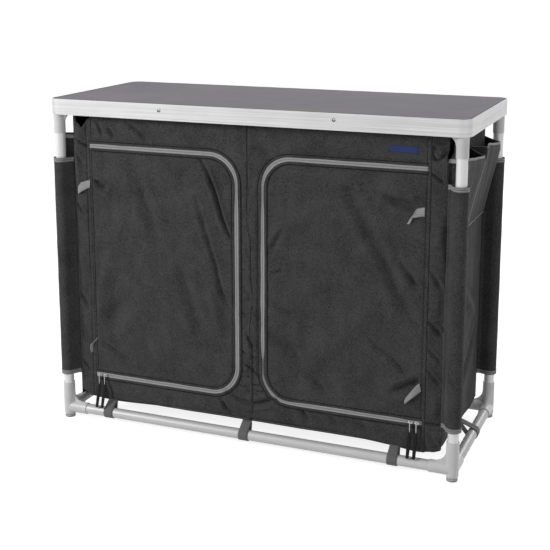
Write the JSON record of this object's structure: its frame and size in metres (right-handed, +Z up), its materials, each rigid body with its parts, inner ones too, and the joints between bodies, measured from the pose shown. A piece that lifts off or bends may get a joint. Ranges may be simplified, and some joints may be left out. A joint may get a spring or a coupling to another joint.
{
  "type": "camping kitchen unit",
  "caption": "Camp kitchen stand: a tube frame with a worktop, and a cloth cabinet with zipped doors, shelves and side pouches.",
  "frame": {"origin": "middle of the footprint on the ground", "axes": "+X to the viewer's right along the worktop's length, front faces -Y, +Z up"},
  "size_m": [1.035, 0.4382, 0.82],
  "materials": {
    "laminate": "satin grey laminate on board",
    "brushed_edge": "brushed",
    "tube_metal": "satin anodised",
    "corner_plastic": "moulded light grey",
    "foot_plastic": "moulded grey",
    "charcoal_cloth": "coated woven polyester",
    "board": "thin black board",
    "grey_tape": "woven tape with nylon teeth",
    "light_webbing": "woven webbing",
    "grey_webbing": "woven webbing",
    "zip_metal": "plated",
    "pull_black": "soft moulded",
    "navy_label": "blank woven patch"
  },
  "bodies": {
    "frame_and_cabinet": {"worktop_panel": "laminate", "worktop_edge_band": "brushed_edge", "worktop_crossbars": "tube_metal", "band_rivets": "tube_metal", "feet": "foot_plastic", "upper_rail_front": "tube_metal", "lower_rail_front": "tube_metal", "upper_rail_rear": "tube_metal", "lower_rail_rear": "tube_metal", "upper_corners_left": "corner_plastic", "lower_corners_left": "corner_plastic", "upper_rail_left": "tube_metal", "lower_rail_left": "tube_metal", "leg_front_left": "tube_metal", "leg_wing_front_left": "charcoal_cloth", "leg_rear_left": "tube_metal", "leg_wing_rear_left": "charcoal_cloth", "upper_corners_right": "corner_plastic", "lower_corners_right": "corner_plastic", "upper_rail_right": "tube_metal", "lower_rail_right": "tube_metal", "leg_front_right": "tube_metal", "leg_wing_front_right": "charcoal_cloth", "leg_rear_right": "tube_metal", "leg_wing_rear_right": "charcoal_cloth", "cabinet_front": "charcoal_cloth", "cabinet_back": "charcoal_cloth", "cabinet_floor": "charcoal_cloth", "cabinet_top": "charcoal_cloth", "cabinet_divider": "charcoal_cloth", "cabinet_side_left": "charcoal_cloth", "floor_board_left": "board", "side_pouches_left": "charcoal_cloth", "zip_left": "grey_tape", "shelf_left_lower": "charcoal_cloth", "shelf_left_upper": "charcoal_cloth", "tie_backs_left": "light_webbing", "cabinet_side_right": "charcoal_cloth", "floor_board_right": "board", "side_pouches_right": "charcoal_cloth", "zip_right": "grey_tape", "shelf_right_lower": "charcoal_cloth", "shelf_right_upper": "charcoal_cloth", "upper_loops": "grey_webbing", "lower_loops": "grey_webbing", "label_patch": "navy_label"},
    "door_left": {"door_left": "charcoal_cloth"},
    "zip_slider_left_outer": {"zip_slider_left_outer": "zip_metal"},
    "zip_pull_left_outer": {"zip_pull_left_outer": "pull_black"},
    "zip_slider_left_inner": {"zip_slider_left_inner": "zip_metal"},
    "zip_pull_left_inner": {"zip_pull_left_inner": "pull_black"},
    "door_right": {"door_right": "charcoal_cloth", "tie_backs_right": "light_webbing"},
    "zip_slider_right_outer": {"zip_slider_right_outer": "zip_metal"},
    "zip_pull_right_outer": {"zip_pull_right_outer": "pull_black"},
    "zip_slider_right_inner": {"zip_slider_right_inner": "zip_metal"},
    "zip_pull_right_inner": {"zip_pull_right_inner": "pull_black"}
  },
  "joints": [
    {"name": "door_left_swing", "type": "hinge", "parent": "frame_and_cabinet", "child": "door_left", "pos_m": [-0.422, -0.187, 0.412], "axis": [0, 0, -1], "range_deg": [0, 120]},
    {"name": "zip_slide_left_outer", "type": "slide", "parent": "frame_and_cabinet", "child": "zip_slider_left_outer", "axis": [1, 0, 0], "range_m": [0, 0.0035]},
    {"name": "pull_swing_left_outer", "type": "hinge", "parent": "zip_slider_left_outer", "child": "zip_pull_left_outer", "pos_m": [-0.4115, -0.1928, 0.119], "axis": [-1, 0, 0], "range_deg": [0, 75]},
    {"name": "zip_slide_left_inner", "type": "slide", "parent": "frame_and_cabinet", "child": "zip_slider_left_inner", "axis": [1, 0, 0], "range_m": [0, 0.286]},
    {"name": "pull_swing_left_inner", "type": "hinge", "parent": "zip_slider_left_inner", "child": "zip_pull_left_inner", "pos_m": [-0.3965, -0.1928, 0.119], "axis": [-1, 0, 0], "range_deg": [0, 75]},
    {"name": "door_right_swing", "type": "hinge", "parent": "frame_and_cabinet", "child": "door_right", "pos_m": [0.422, -0.187, 0.412], "axis": [0, 0, 1], "range_deg": [0, 120]},
    {"name": "zip_slide_right_outer", "type": "slide", "parent": "frame_and_cabinet", "child": "zip_slider_right_outer", "axis": [-1, 0, 0], "range_m": [0, 0.0035]},
    {"name": "pull_swing_right_outer", "type": "hinge", "parent": "zip_slider_right_outer", "child": "zip_pull_right_outer", "pos_m": [0.4115, -0.1928, 0.119], "axis": [-1, 0, 0], "range_deg": [0, 75]},
    {"name": "zip_slide_right_inner", "type": "slide", "parent": "frame_and_cabinet", "child": "zip_slider_right_inner", "axis": [-1, 0, 0], "range_m": [0, 0.286]},
    {"name": "pull_swing_right_inner", "type": "hinge", "parent": "zip_slider_right_inner", "child": "zip_pull_right_inner", "pos_m": [0.3965, -0.1928, 0.119], "axis": [-1, 0, 0], "range_deg": [0, 75]}
  ]
}
